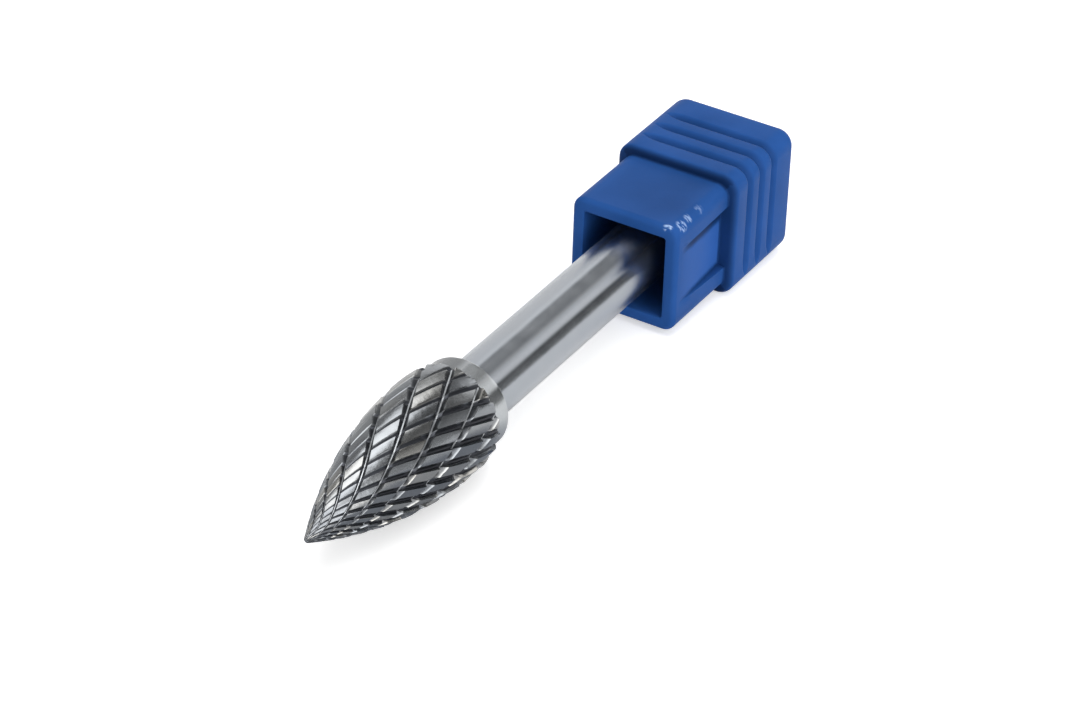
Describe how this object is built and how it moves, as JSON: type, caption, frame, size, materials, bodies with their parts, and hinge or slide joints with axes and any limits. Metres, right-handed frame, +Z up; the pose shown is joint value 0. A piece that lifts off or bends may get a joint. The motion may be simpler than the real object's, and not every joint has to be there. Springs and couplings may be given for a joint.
{
  "type": "rotary burr",
  "caption": "Pointed tree carbide rotary burr with a double-cut toothed head on a plain round shank, whose end sits in a square ribbed pull-off holder cap.",
  "frame": {"origin": "centre of the tool's bounding box, on the surface that the tool lies on", "axes": "+X along the tool from the cap to the tip, +Y across it, +Z up. The tool's own axis dips 1.68 degrees towards the tip, as it comes to rest on the cap's foremost ridge and the belly of the head."},
  "size_m": [0.0704, 0.0124, 0.0127],
  "materials": {
    "carbide": "satin",
    "ground_steel": "polished",
    "blue_plastic": "satin"
  },
  "bodies": {
    "burr": {"burr_head": "carbide", "shank": "ground_steel"},
    "cap": {"holder_cap": "blue_plastic"}
  },
  "joints": [
    {"name": "cap_pull", "type": "slide", "parent": "burr", "child": "cap", "axis": [-0.9996, 0, 0.0293], "range_m": [0, 0.022]}
  ]
}
